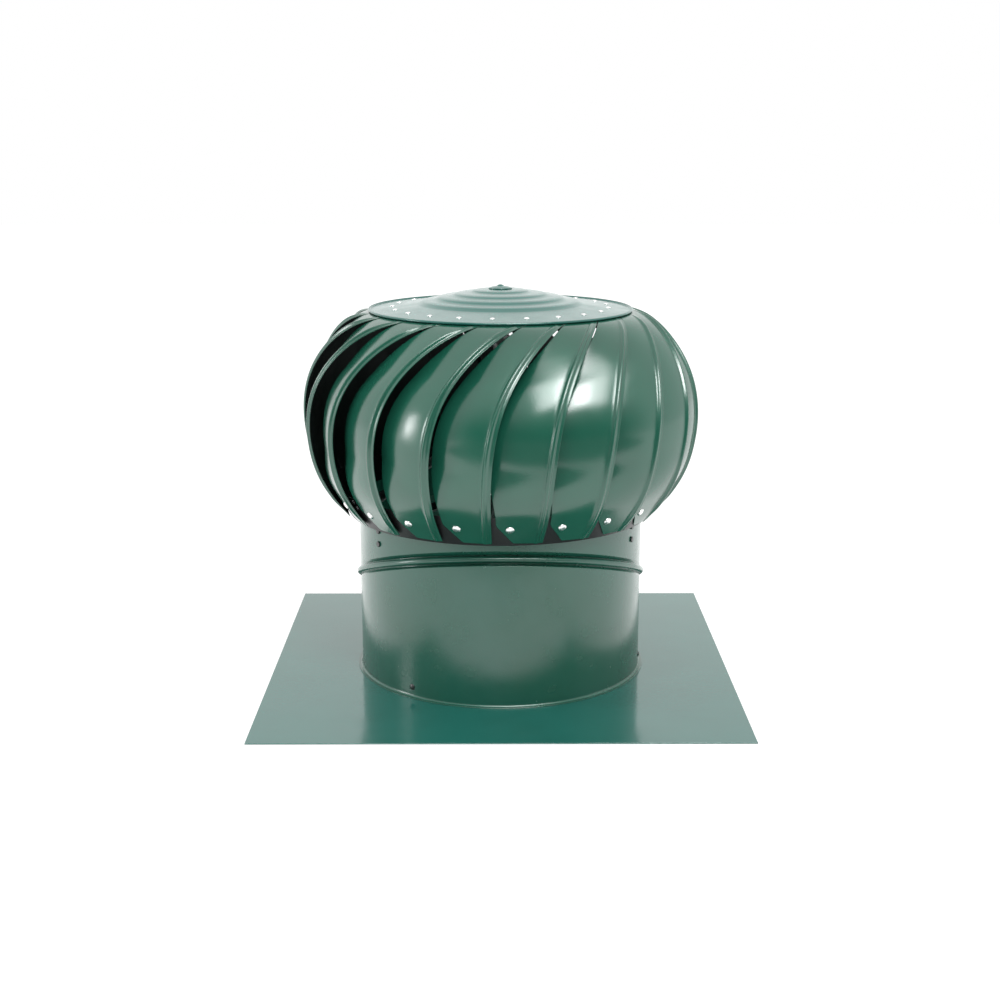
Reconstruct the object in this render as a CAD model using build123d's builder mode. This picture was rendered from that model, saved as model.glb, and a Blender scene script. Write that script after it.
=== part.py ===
"""Roof turbine ventilator: a wind-driven head on a two-piece swivelling throat and roof flashing.

Millimetres, +Z up.  The origin is the centre of the flashing's underside, on the throat's axis.
The front is -Y.  An azimuth is measured in degrees from the front, towards +X.
"""
from build123d import *
import os
from math import asin, atan2, cos, degrees, radians, sin, sqrt

os.makedirs("parts", exist_ok=True)

# ---------------------------------------------------------------- driving dimensions
SHEET = 0.8                    # gauge of the throat, ring, vanes and cap

PLATE_SIDE = 495.0             # flashing, a 19.5 inch square
PLATE_GAUGE = 1.0
COLLAR_HEIGHT = 22.0

THROAT_RADIUS = 153.0          # outside, for a 12 inch duct
THROAT_TOP = 190.0
FOOT_FLANGE_RADIUS = 157.5     # throat's turned-out foot, lying on the flashing
FOOT_BEND = 2.0

SEAM_HEIGHT = 102.0            # centre of the slanted swivel seam
SEAM_TILT = 20.5               # degrees, high at the front
SEAM_RADIUS = 153.6            # outer sheet at the seam's circle
SEAM_GAP = 0.4                 # running gap between the nested beads
BEAD_PROUD = 3.4
OUTER_BEAD = (3.6, 3.0)        # half height of a bead's root, outside and inside of its sheet
INNER_BEAD = (2.5, 1.3)        # smaller, so that it turns inside the outer one

RING_BOTTOM = 175.0            # lower ring of the head
RING_TOP = 208.0
RING_RADIUS = 165.0            # outside of its cone, at RING_DATUM
RING_DATUM = 178.0
RING_SLOPE = 0.6176            # radius gained per unit of height
RING_LIP_RADIUS = 157.0
RING_LIP_TOP = 184.0

VANE_COUNT = 21
VANE_PROFILE = [               # pull points of a vane's outer edge, radius and height
    (167.5, 177.2),
    (199.0, 212.5),
    (212.5, 233.9),
    (227.1, 317.9),
    (205.2, 322.6),
    (179.8, 388.1),
    (136.0, 390.0),
]
VANE_STATIONS = 20
VANE_FOOT_ANGLE = 15.8         # degrees spanned by one vane at its foot
VANE_BODY_ANGLE = 18.6         # where it reaches under its neighbour
VANE_TAB_ANGLE = 16.7          # and under the cap
VANE_EDGE_LEAD = 11.3          # outer edge beyond the foot rivet, degrees
VANE_SWEEP = 30.4              # extra lead of the outer edge at the cap, degrees
VANE_TUCK = 14.0               # how far the inner edge sits inside the outer one
VANE_CROWN = 1.6               # crown of the skin beyond the head's own curve
VANE_RIB_WIDTH = 7.0
VANE_RIB_HEIGHT = 2.6
VANE_LIP = 3.0
VANE_TAB_RADII = (106.0, 138.0)  # flat tab under the cap
VANE_CORNER = ((-8, 205.0), (24, 169.0), (-8, 169.0))  # cut from the foot's inner side

FOOT_RIVET_AZIMUTH = 2.84
FOOT_RIVET_HEIGHT = 195.0
TAB_RIVET_AZIMUTH = 30.05
TAB_RIVET_RADIUS = 114.5
RIVET_HEAD_RADIUS = 3.3
RIVET_HEAD_HEIGHT = 1.3
RIVET_HEAD_EDGE = 0.3
RIVET_SHANK_RADIUS = 1.6
RIVET_TAIL_RADIUS = 2.4
RIVET_TAIL = 1.2               # swollen end behind the sheets
RIVET_TAIL_TAPER = 0.6
FLUSH_TAIL = 0.3               # flattened end, inside the duct's collar

CAP_RADIUS = 140.0
CAP_SEAT = 390.4               # underside of the cap's flange
CAP_STEPS = [                  # top of the stepped dome, radius and height
    (90.0, 391.2),
    (85.5, 393.6),
    (81.0, 397.6),
    (69.5, 399.0),
    (64.5, 403.2),
    (51.5, 404.4),
    (46.5, 408.0),
    (31.5, 409.0),
    (27.5, 411.6),
]
CAP_TOP = 412.6
CAP_ROUND = 1.4                # bend of its steps
CAP_HEM = 1.3                  # radius of its rolled edge
BUTTON_RADIUS = 12.5
BUTTON_TOP = 417.0
BUTTON_RIM = 0.8               # height of the button's upright edge
BUTTON_CROWN = 3.0
NUB_FOOT = 2.4                 # where the nub's dome starts, above the cap
NUB_RADIUS = 4.2

BEARING_PITCH = 10.0
BEARING_OUTER = 14.0
BEARING_WIDTH = 8.0
BALL_RADIUS = 2.38
BALL_GAP = 0.08
BALL_COUNT = 8
UPPER_BEARING = 377.0          # underside of each bearing
LOWER_BEARING = 228.0
HOUSING_WALL = 2.5

PLATE_DISC_RADIUS = 121.0
PLATE_DISC_GAUGE = 1.5

SHAFT_RADIUS = 6.0
SHAFT_SHOULDER = 8.0
HUB_BOTTOM = 168.0
HUB_TOP = 200.0
HUB_RADIUS = 22.0
HUB_FLAT = 20.0
NUT_ACROSS = 19.0

BRACE_AZIMUTH = -56.0
BRACE_WIDTH = 22.0
BRACE_GAUGE = 2.0
BRACE_SCREW_HEIGHTS = (156.0, 170.0)
BRACE_FOOT_BOTTOM = 146.0
BRACE_FOOT_TOP = 179.0
ARM_AZIMUTH = FOOT_RIVET_AZIMUTH - 3.5 * 360 / VANE_COUNT
ARM_WIDTH = 18.0
ARM_COUNT = 3
COLLAR_RIVET_AZIMUTH = -37.0
COLLAR_RIVET_HEIGHT = 12.0
LAP_WIDTH = 12.0

PITCH = 360 / VANE_COUNT
INNER = THROAT_RADIUS - SHEET


# ---------------------------------------------------------------- directions and planes
def outward(azimuth):
    """Unit vector that points away from the head's axis."""
    return Vector(sin(radians(azimuth)), -cos(radians(azimuth)), 0)


def around(azimuth):
    """Unit vector along the circle, towards a larger azimuth."""
    return Vector(cos(radians(azimuth)), sin(radians(azimuth)), 0)


def meridian(azimuth):
    """Plane through the axis, with x outward and y up."""
    return Plane(origin=(0, 0, 0), x_dir=outward(azimuth), z_dir=-around(azimuth))


def facing(azimuth, radius, height):
    """Plane square to a radius, with x around the axis, y up and z outward."""
    place = outward(azimuth) * radius + Vector(0, 0, height)
    return Plane(origin=place, x_dir=around(azimuth), z_dir=outward(azimuth))


def dome(radius, low, high):
    """Arc of a sphere centred on the axis, from a rim up to its crown."""
    rise = high - low
    ball = (radius * radius + rise * rise) / (2 * rise)
    half = asin(radius / ball) / 2
    middle = (ball * sin(half), high - ball + ball * cos(half))
    return ThreePointArc((radius, low), middle, (0, high))


def ease(value, start, end):
    """Rises smoothly from 0 at start to 1 at end."""
    t = min(max((value - start) / (end - start), 0), 1)
    return t * t * (3 - 2 * t)


SEAM_NORMAL = Vector(0, sin(radians(SEAM_TILT)), cos(radians(SEAM_TILT)))
SEAM_CENTRE = Vector(0, 0, SEAM_HEIGHT)
SEAM_AXIS = Axis(SEAM_CENTRE, SEAM_NORMAL)
SEAM_SIDE = Plane(
    origin=SEAM_CENTRE,
    x_dir=(1, 0, 0),
    z_dir=(0, -cos(radians(SEAM_TILT)), sin(radians(SEAM_TILT))),
)


def seam_disc(offset, radius):
    """Round section across the seam's axis."""
    plane = Plane(origin=SEAM_CENTRE + SEAM_NORMAL * offset, x_dir=(1, 0, 0), z_dir=SEAM_NORMAL)
    with BuildSketch(plane) as section:
        Circle(radius)
    return section.sketch


def mitre_plane(offset):
    """Slanted plane on the throat's axis, as far along the seam's axis as offset."""
    place = SEAM_CENTRE + Vector(0, 0, offset / cos(radians(SEAM_TILT)))
    return Plane(origin=place, x_dir=(1, 0, 0), z_dir=SEAM_NORMAL)


def mitre_ellipse(offset, radius):
    """Slanted section of an upright tube."""
    with BuildSketch(mitre_plane(offset)) as section:
        Ellipse(radius, radius / cos(radians(SEAM_TILT)))
    return section.sketch


# ---------------------------------------------------------------- flashing and lower throat
COLLAR_TURNS = [COLLAR_RIVET_AZIMUTH + 120 * turn for turn in range(3)]
COLLAR_OUTER = INNER
COLLAR_INNER = COLLAR_OUTER - PLATE_GAUGE
BEND_CENTRE = (THROAT_RADIUS + FOOT_BEND, PLATE_GAUGE + SHEET + FOOT_BEND)
NESTED_BEND = FOOT_BEND + SHEET


def quarter(radius):
    """Arc of a 90 degree bend, from pointing down to pointing outward."""
    x, z = BEND_CENTRE
    diagonal = radius * sqrt(0.5)
    return ThreePointArc((x - radius, z), (x - diagonal, z - diagonal), (x, z - radius))


with BuildPart() as flashing_plate:
    with BuildSketch():
        Rectangle(PLATE_SIDE, PLATE_SIDE)
        Circle(BEND_CENTRE[0], mode=Mode.SUBTRACT)
    extrude(amount=PLATE_GAUGE)
    with BuildSketch(Plane.XZ):
        with BuildLine():
            outer_bend = quarter(NESTED_BEND)
            inner_bend = quarter(NESTED_BEND + PLATE_GAUGE)
            Line(outer_bend @ 1, inner_bend @ 1)
            Polyline(
                outer_bend @ 0,
                (COLLAR_OUTER, COLLAR_HEIGHT),
                (COLLAR_INNER, COLLAR_HEIGHT),
                inner_bend @ 0,
            )
        make_face()
    revolve(axis=Axis.Z)
    with Locations(*[facing(azimuth, THROAT_RADIUS, COLLAR_RIVET_HEIGHT) for azimuth in COLLAR_TURNS]):
        Cylinder(RIVET_SHANK_RADIUS, 10, mode=Mode.SUBTRACT)


def seam_shell(outer_circle, bead_outer, roots, low, high):
    """Section of the seam's sheet: a short tube with one rolled bead, round the seam's axis."""
    outer_root, inner_root = roots
    inner_circle = outer_circle - SHEET
    with BuildSketch(SEAM_SIDE) as section:
        with BuildLine():
            outside = ThreePointArc(
                (outer_circle, -outer_root), (bead_outer, 0), (outer_circle, outer_root)
            )
            inside = ThreePointArc(
                (inner_circle, -inner_root), (bead_outer - SHEET, 0), (inner_circle, inner_root)
            )
            Polyline(outside @ 1, (outer_circle, high), (inner_circle, high), inside @ 1)
            Polyline(outside @ 0, (outer_circle, low), (inner_circle, low), inside @ 0)
        make_face()
    return section.sketch


SHOULDER = 2.6                 # height of the shoulder between tube and seam circle
SHOULDER_WALL = 0.6            # its wall, measured along the seam's axis
LOWER_CIRCLE = SEAM_RADIUS - SHEET - SEAM_GAP
LOWER_BEAD = SEAM_RADIUS + BEAD_PROUD - SHEET - SEAM_GAP
UPPER_START = 4.2              # shoulder of the upper throat, above the seam
LOWER_START = -4.8             # shoulder of the lower throat, below the seam
SKIRT_END = -4.2               # outer sheet stops just below its bead
LIP_END = 4.2                  # inner sheet stops just above it

with BuildPart() as lower_throat:
    with BuildSketch(Plane.XZ):
        with BuildLine():
            outer_bend = quarter(FOOT_BEND)
            inner_bend = quarter(NESTED_BEND)
            Polyline(
                outer_bend @ 1,
                (FOOT_FLANGE_RADIUS, PLATE_GAUGE + SHEET),
                (FOOT_FLANGE_RADIUS, PLATE_GAUGE),
                inner_bend @ 1,
            )
            Polyline(
                outer_bend @ 0,
                (THROAT_RADIUS, THROAT_TOP),
                (INNER, THROAT_TOP),
                inner_bend @ 0,
            )
        make_face()
    revolve(axis=Axis.Z)
    with BuildSketch(Plane.XY.offset(BEND_CENTRE[1])):
        with Locations((0, THROAT_RADIUS)):
            Rectangle(LAP_WIDTH, 2 * SHEET)
        Circle(THROAT_RADIUS, mode=Mode.SUBTRACT)
    extrude(amount=THROAT_TOP - BEND_CENTRE[1])
    split(bisect_by=mitre_plane(LOWER_START - SHOULDER), keep=Keep.BOTTOM)
    loft([
        mitre_ellipse(LOWER_START - SHOULDER, THROAT_RADIUS),
        seam_disc(LOWER_START, LOWER_CIRCLE),
    ])
    loft([
        mitre_ellipse(LOWER_START - SHOULDER - SHOULDER_WALL, INNER),
        seam_disc(LOWER_START - SHOULDER_WALL, LOWER_CIRCLE - SHEET),
    ], mode=Mode.SUBTRACT)
    through = seam_disc(LOWER_START - SHOULDER_WALL, LOWER_CIRCLE - SHEET)
    extrude(through, amount=2, mode=Mode.SUBTRACT)
    add(seam_shell(LOWER_CIRCLE, LOWER_BEAD, INNER_BEAD, LOWER_START, LIP_END))
    revolve(axis=SEAM_AXIS)
    with Locations(*[facing(azimuth, THROAT_RADIUS, COLLAR_RIVET_HEIGHT) for azimuth in COLLAR_TURNS]):
        Cylinder(RIVET_SHANK_RADIUS, 10, mode=Mode.SUBTRACT)


def pop_rivet(grip, tail=RIVET_TAIL):
    """Domed rivet: its head stands on the plane z = 0, and its tail is swollen below the grip."""
    with BuildPart() as rivet:
        with BuildSketch(Plane.XZ):
            with BuildLine():
                dome(RIVET_HEAD_RADIUS, RIVET_HEAD_EDGE, RIVET_HEAD_HEIGHT)
                Polyline(
                    (0, RIVET_HEAD_HEIGHT),
                    (0, -grip - tail),
                    (RIVET_TAIL_RADIUS - RIVET_TAIL_TAPER, -grip - tail),
                    (RIVET_TAIL_RADIUS, -grip),
                    (RIVET_SHANK_RADIUS, -grip),
                    (RIVET_SHANK_RADIUS, 0),
                    (RIVET_HEAD_RADIUS, 0),
                    (RIVET_HEAD_RADIUS, RIVET_HEAD_EDGE),
                )
            make_face()
        revolve(axis=Axis.Z)
    return rivet.part


with BuildPart() as collar_rivets:
    with Locations(*[facing(azimuth, THROAT_RADIUS, COLLAR_RIVET_HEIGHT) for azimuth in COLLAR_TURNS]):
        add(pop_rivet(SHEET + PLATE_GAUGE, FLUSH_TAIL))
    add(lower_throat.part, mode=Mode.SUBTRACT)
    add(flashing_plate.part, mode=Mode.SUBTRACT)

# ---------------------------------------------------------------- upper throat
UPPER_CIRCLE = SEAM_RADIUS
UPPER_BEAD = SEAM_RADIUS + BEAD_PROUD

BRACE_FACE = sqrt(INNER**2 - (BRACE_WIDTH / 2) ** 2) - 0.02   # flat foot inside a round wall
BRACE_TURNS = [BRACE_AZIMUTH + 120 * turn for turn in range(3)]
SCREW_PLACES = [
    facing(azimuth, THROAT_RADIUS, height)
    for azimuth in BRACE_TURNS
    for height in BRACE_SCREW_HEIGHTS
]
SCREW_RADIUS = 2.1
SCREW_HEAD_RADIUS = 3.0
SCREW_HEAD_HEIGHT = 1.6
SCREW_HEAD_ROUND = 0.4


with BuildPart() as upper_bore:
    with BuildSketch():
        Circle(INNER)
    extrude(amount=THROAT_TOP)
    split(bisect_by=mitre_plane(UPPER_START + SHOULDER + SHOULDER_WALL), keep=Keep.TOP)
    loft([
        seam_disc(UPPER_START + SHOULDER_WALL, UPPER_CIRCLE - SHEET),
        mitre_ellipse(UPPER_START + SHOULDER + SHOULDER_WALL, INNER),
    ])
    extrude(seam_disc(UPPER_START - 1, UPPER_CIRCLE - SHEET), amount=1 + SHOULDER_WALL)

with BuildPart() as upper_throat:
    with BuildSketch():
        Circle(THROAT_RADIUS)
        with Locations((0, THROAT_RADIUS)):
            Rectangle(LAP_WIDTH, 2 * SHEET)
    extrude(amount=THROAT_TOP)
    split(bisect_by=mitre_plane(UPPER_START + SHOULDER), keep=Keep.TOP)
    loft([
        seam_disc(UPPER_START, UPPER_CIRCLE),
        mitre_ellipse(UPPER_START + SHOULDER, THROAT_RADIUS),
    ])
    add(upper_bore.part, mode=Mode.SUBTRACT)
    add(seam_shell(UPPER_CIRCLE, UPPER_BEAD, OUTER_BEAD, SKIRT_END, UPPER_START))
    revolve(axis=SEAM_AXIS)
    with Locations(*SCREW_PLACES):
        Cylinder(SCREW_RADIUS, 10, mode=Mode.SUBTRACT)

# ---------------------------------------------------------------- brace, hub and fixed shaft
HUB_BOLT_HEIGHT = 178.0
HUB_BOLT_RADIUS = 3.0
HUB_BOLT_DEPTH = 9.0
HUB_BOLT_ACROSS = 10.0         # over the flats of its head
HUB_BOLT_HEAD = 4.0
HUB_CHAMFER = 0.6
SHAFT_CHAMFER = 0.8

with BuildPart() as brace_hub:
    with BuildSketch(Plane.XY.offset(HUB_BOTTOM)):
        Circle(HUB_RADIUS)
        for azimuth in BRACE_TURNS:
            with Locations(outward(azimuth) * (HUB_FLAT + HUB_RADIUS)):
                Rectangle(2 * HUB_RADIUS, 2 * HUB_RADIUS, rotation=azimuth, mode=Mode.SUBTRACT)
        Circle(SHAFT_RADIUS, mode=Mode.SUBTRACT)
    extrude(amount=HUB_TOP - HUB_BOTTOM)
    chamfer(brace_hub.edges().filter_by(GeomType.CIRCLE).sort_by(Axis.Z)[-3:], length=HUB_CHAMFER)
    for azimuth in BRACE_TURNS:
        with BuildSketch(facing(azimuth, HUB_FLAT - HUB_BOLT_DEPTH, HUB_BOLT_HEIGHT)):
            Circle(HUB_BOLT_RADIUS)
        extrude(amount=HUB_RADIUS, mode=Mode.SUBTRACT)

brace_legs = []
for azimuth in BRACE_TURNS:
    with BuildPart() as leg:
        with BuildSketch(meridian(azimuth)):
            with BuildLine():
                FilletPolyline(
                    (BRACE_FACE - BRACE_GAUGE / 2, BRACE_FOOT_BOTTOM),
                    (BRACE_FACE - BRACE_GAUGE / 2, BRACE_FOOT_TOP),
                    (HUB_FLAT + BRACE_GAUGE / 2, HUB_TOP - 6),
                    (HUB_FLAT + BRACE_GAUGE / 2, HUB_BOTTOM + 3),
                    radius=4,
                )
            trace(line_width=BRACE_GAUGE)
        extrude(amount=BRACE_WIDTH / 2, both=True)
        for height in BRACE_SCREW_HEIGHTS:
            with BuildSketch(facing(azimuth, THROAT_RADIUS - 20, height)):
                Circle(SCREW_RADIUS)
            extrude(amount=20, mode=Mode.SUBTRACT)
        with BuildSketch(facing(azimuth, 0, HUB_BOLT_HEIGHT)):
            Circle(HUB_BOLT_RADIUS)
        extrude(amount=HUB_RADIUS + 10, mode=Mode.SUBTRACT)
    brace_legs.append(leg.part)


SCREW_GRIP = THROAT_RADIUS - BRACE_FACE + BRACE_GAUGE
with BuildPart() as brace_screws:
    with Locations(*SCREW_PLACES):
        Cylinder(SCREW_RADIUS, SCREW_GRIP + 4, align=(Align.CENTER, Align.CENTER, Align.MAX))
        Cylinder(SCREW_HEAD_RADIUS, SCREW_HEAD_HEIGHT, align=(Align.CENTER, Align.CENTER, Align.MIN))
    head_edges = brace_screws.edges().filter_by(GeomType.CIRCLE).group_by(Edge.length)[-1]
    fillet(head_edges, radius=SCREW_HEAD_ROUND)
    add(upper_throat.part, mode=Mode.SUBTRACT)

with BuildPart() as hub_bolts:
    for azimuth in BRACE_TURNS:
        with BuildSketch(facing(azimuth, HUB_FLAT - HUB_BOLT_DEPTH, HUB_BOLT_HEIGHT)):
            Circle(HUB_BOLT_RADIUS)
        extrude(amount=HUB_BOLT_DEPTH + BRACE_GAUGE)
        with BuildSketch(facing(azimuth, HUB_FLAT + BRACE_GAUGE, HUB_BOLT_HEIGHT)):
            RegularPolygon(HUB_BOLT_ACROSS / 2, 6, major_radius=False)
        extrude(amount=HUB_BOLT_HEAD)

UPPER_NUT = UPPER_BEARING + BEARING_WIDTH
NUT_HEIGHT = 8.0
WASHER = 1.6
WASHER_RADIUS = 12.0
SHAFT_BOTTOM = HUB_BOTTOM - WASHER - NUT_HEIGHT - 3
SHAFT_TOP = UPPER_NUT + NUT_HEIGHT + 3

with BuildPart() as shaft:
    with BuildSketch(Plane.XY.offset(SHAFT_BOTTOM)):
        Circle(SHAFT_RADIUS)
    extrude(amount=SHAFT_TOP - SHAFT_BOTTOM)
    with BuildSketch(Plane.XY.offset(HUB_TOP)):
        Circle(SHAFT_SHOULDER)
    extrude(amount=LOWER_BEARING - HUB_TOP)
    chamfer(shaft.edges().filter_by(GeomType.CIRCLE).sort_by(Axis.Z)[0], length=SHAFT_CHAMFER)
    chamfer(shaft.edges().filter_by(GeomType.CIRCLE).sort_by(Axis.Z)[-1], length=SHAFT_CHAMFER)

with BuildPart() as bearing_spacer:
    with BuildSketch(Plane.XY.offset(LOWER_BEARING + BEARING_WIDTH)):
        Circle(SHAFT_SHOULDER)
        Circle(SHAFT_RADIUS, mode=Mode.SUBTRACT)
    extrude(amount=UPPER_BEARING - LOWER_BEARING - BEARING_WIDTH)


def hex_nut(height):
    """Nut for the shaft's thread, standing on the given height."""
    with BuildPart() as nut:
        with BuildSketch(Plane.XY.offset(height)):
            RegularPolygon(NUT_ACROSS / 2, 6, major_radius=False)
            Circle(SHAFT_RADIUS, mode=Mode.SUBTRACT)
        extrude(amount=NUT_HEIGHT)
    return nut.part


shaft_lower_nut = hex_nut(HUB_BOTTOM - WASHER - NUT_HEIGHT)
shaft_top_nut = hex_nut(UPPER_NUT)

with BuildPart() as shaft_washer:
    with BuildSketch(Plane.XY.offset(HUB_BOTTOM - WASHER)):
        Circle(WASHER_RADIUS)
        Circle(SHAFT_RADIUS, mode=Mode.SUBTRACT)
    extrude(amount=WASHER)

# ---------------------------------------------------------------- bearings
RACE_SHOULDER = 1.7            # half of the open width between the races
GROOVE = BALL_RADIUS + BALL_GAP
CIRCLIP_GAUGE = 1.2
CIRCLIP_DEPTH = 0.8            # into the housing's groove
CIRCLIP_WIDTH = 2.0
HOUSING_STEP = 2.0             # inward lip over the outer race


def race(low, bore, outside):
    """One bearing race, with the ball groove cut round its open side."""
    with BuildPart() as ring:
        with BuildSketch(Plane.XZ):
            with Locations(((bore + outside) / 2, low + BEARING_WIDTH / 2)):
                Rectangle(outside - bore, BEARING_WIDTH)
            with Locations((BEARING_PITCH, low + BEARING_WIDTH / 2)):
                Circle(GROOVE, mode=Mode.SUBTRACT)
        revolve(axis=Axis.Z)
    return ring.part


def ball_set(low):
    """Full ring of balls between two races."""
    with BuildPart() as balls:
        with Locations((0, 0, low + BEARING_WIDTH / 2)):
            with PolarLocations(BEARING_PITCH, BALL_COUNT):
                Sphere(BALL_RADIUS)
    return balls.part


def housing(low, flange_radius, flange_top, flange_gauge):
    """Bearing housing: a tube with an inward lip above the outer race, and a mounting flange."""
    top = low + BEARING_WIDTH
    with BuildPart() as shell:
        with BuildSketch(Plane.XZ):
            with BuildLine():
                Polyline(
                    (BEARING_OUTER, low - 2 * CIRCLIP_GAUGE),
                    (BEARING_OUTER + HOUSING_WALL, low - 2 * CIRCLIP_GAUGE),
                    (BEARING_OUTER + HOUSING_WALL, flange_top - flange_gauge),
                    (flange_radius, flange_top - flange_gauge),
                    (flange_radius, flange_top),
                    (BEARING_OUTER - HOUSING_STEP, flange_top),
                    (BEARING_OUTER - HOUSING_STEP, top),
                    (BEARING_OUTER, top),
                    close=True,
                )
            make_face()
            with Locations((BEARING_OUTER, low - CIRCLIP_GAUGE / 2)):
                Rectangle(2 * CIRCLIP_DEPTH, CIRCLIP_GAUGE, mode=Mode.SUBTRACT)
        revolve(axis=Axis.Z)
    return shell


def circlip(low):
    """Spring ring under an outer race, open on one side."""
    with BuildPart() as clip:
        with BuildSketch(Plane.XY.offset(low - CIRCLIP_GAUGE)):
            Circle(BEARING_OUTER + CIRCLIP_DEPTH)
            Circle(BEARING_OUTER + CIRCLIP_DEPTH - CIRCLIP_WIDTH, mode=Mode.SUBTRACT)
            with Locations((0, BEARING_OUTER)):
                Rectangle(5, 6, mode=Mode.SUBTRACT)
        extrude(amount=CIRCLIP_GAUGE)
    return clip.part


lower_inner_race = race(LOWER_BEARING, SHAFT_RADIUS, BEARING_PITCH - RACE_SHOULDER)
upper_inner_race = race(UPPER_BEARING, SHAFT_RADIUS, BEARING_PITCH - RACE_SHOULDER)
lower_outer_race = race(LOWER_BEARING, BEARING_PITCH + RACE_SHOULDER, BEARING_OUTER)
upper_outer_race = race(UPPER_BEARING, BEARING_PITCH + RACE_SHOULDER, BEARING_OUTER)
lower_bearing_balls = ball_set(LOWER_BEARING)
upper_bearing_balls = ball_set(UPPER_BEARING)
lower_circlip = circlip(LOWER_BEARING)
upper_circlip = circlip(UPPER_BEARING)

# ---------------------------------------------------------------- lower ring of the head
RING_LEAN = degrees(atan2(RING_SLOPE, 1))
RING_WALL = SHEET / cos(radians(RING_LEAN))    # wall measured along a radius


def ring_radius(height):
    """Outside of the ring's cone."""
    return RING_RADIUS + RING_SLOPE * (height - RING_DATUM)


def cone_plane(azimuth, height, lift=0.0):
    """Plane on the ring's cone, with y up the slope and z outward, raised by lift."""
    lean = radians(RING_LEAN)
    normal = outward(azimuth) * cos(lean) - Vector(0, 0, sin(lean))
    place = outward(azimuth) * ring_radius(height) + Vector(0, 0, height) + normal * lift
    return Plane(origin=place, x_dir=around(azimuth), z_dir=normal)


ARM_TURNS = [ARM_AZIMUTH + 120 * turn for turn in range(ARM_COUNT)]
ARM_GAUGE = 2.0
ARM_RIVET_HEIGHTS = (197.0, 204.0)

RING_RIVET_PLACES = [
    cone_plane(FOOT_RIVET_AZIMUTH + PITCH * turn, FOOT_RIVET_HEIGHT) for turn in range(VANE_COUNT)
]
ARM_RIVET_PLACES = [
    cone_plane(azimuth, height) for azimuth in ARM_TURNS for height in ARM_RIVET_HEIGHTS
]

with BuildPart() as lower_ring:
    with BuildSketch(Plane.XZ):
        with BuildLine():
            Polyline(
                (ring_radius(RING_BOTTOM), RING_BOTTOM),
                (ring_radius(RING_TOP), RING_TOP),
                (ring_radius(RING_TOP) - RING_WALL, RING_TOP),
                (ring_radius(RING_BOTTOM + SHEET) - RING_WALL, RING_BOTTOM + SHEET),
                (RING_LIP_RADIUS + SHEET, RING_BOTTOM + SHEET),
                (RING_LIP_RADIUS + SHEET, RING_LIP_TOP),
                (RING_LIP_RADIUS, RING_LIP_TOP),
                (RING_LIP_RADIUS, RING_BOTTOM),
                close=True,
            )
        make_face()
    revolve(axis=Axis.Z)
    with Locations(*RING_RIVET_PLACES, *ARM_RIVET_PLACES):
        Cylinder(RIVET_SHANK_RADIUS, 8, mode=Mode.SUBTRACT)

# ---------------------------------------------------------------- vanes
with BuildLine(Plane.XZ) as vane_edge:
    Bezier(*VANE_PROFILE)
EDGE = vane_edge.edge()
SEAT_GAP = 0.15                # vane foot to ring
RING_ZONE = 0.14               # part of the vane's length that lies on the ring


def vane_section(share):
    """Closed section of a vane's sheet, at a share of its length from the foot."""
    point = EDGE.position_at(share)
    tangent = EDGE.tangent_at(share)
    radius, height = point.X, point.Z
    slope = Vector(tangent.X, 0, tangent.Z).normalized()
    normal_out, normal_up = slope.Z, -slope.X

    span = VANE_FOOT_ANGLE + (VANE_BODY_ANGLE - VANE_FOOT_ANGLE) * ease(share, 0.1, 0.36)
    span -= (VANE_BODY_ANGLE - VANE_TAB_ANGLE) * ease(share, 0.75, 0.93)
    lead = FOOT_RIVET_AZIMUTH + VANE_EDGE_LEAD + VANE_SWEEP * share**4
    middle = lead - span / 2

    lean = radians(RING_LEAN)
    above_ring = (radius - ring_radius(height)) * cos(lean) - SHEET - SEAT_GAP
    on_ring = above_ring / (normal_out * cos(lean) - normal_up * sin(lean))
    tuck = on_ring + (VANE_TUCK - on_ring) * ease(share, RING_ZONE, 0.36)
    tuck *= 1 - ease(share, 0.72, 1.0)
    crown = -on_ring / 4 + (VANE_CROWN + on_ring / 4) * ease(share, 0.05, 0.36)
    crown *= 1 - ease(share, 0.8, 1.0) * 0.97
    rib = VANE_RIB_HEIGHT * (1 - 0.94 * ease(share, 0.88, 1.0))

    right = radius * sin(radians(span / 2))
    left = -(radius - tuck * normal_out) * sin(radians(span / 2))

    def skin(x):
        across = (right - x) / (right - left)
        bulge = -x * x * normal_out / (2 * radius)
        return bulge - tuck * across + 4 * crown * across * (1 - across)

    rib_start = right - VANE_LIP - VANE_RIB_WIDTH
    outline = [
        (rib_start, skin(rib_start)),
        (rib_start + 2, skin(rib_start + 2) + rib),
        (right - VANE_LIP - 2, skin(right - VANE_LIP - 2) + rib),
        (right - VANE_LIP, skin(right - VANE_LIP)),
        (right, skin(right)),
    ]
    lowered = [(x, y - SHEET) for x, y in outline]
    half = (left + rib_start) / 2

    origin = outward(middle) * radius + Vector(0, 0, height)
    along = outward(middle) * slope.X + Vector(0, 0, slope.Z)
    with BuildSketch(Plane(origin=origin, x_dir=around(middle), z_dir=-along)) as section:
        with BuildLine():
            ThreePointArc((left, skin(left)), (half, skin(half)), outline[0])
            Polyline(*outline, *reversed(lowered))
            ThreePointArc(lowered[0], (half, skin(half) - SHEET), (left, skin(left) - SHEET))
            Line((left, skin(left) - SHEET), (left, skin(left)))
        make_face()
    return section.sketch


FOOT_LEFT = FOOT_RIVET_AZIMUTH + VANE_EDGE_LEAD - VANE_FOOT_ANGLE
sections = [vane_section(station / (VANE_STATIONS - 1)) for station in range(VANE_STATIONS)]
TAB_END = FOOT_RIVET_AZIMUTH + VANE_EDGE_LEAD + VANE_SWEEP

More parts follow.
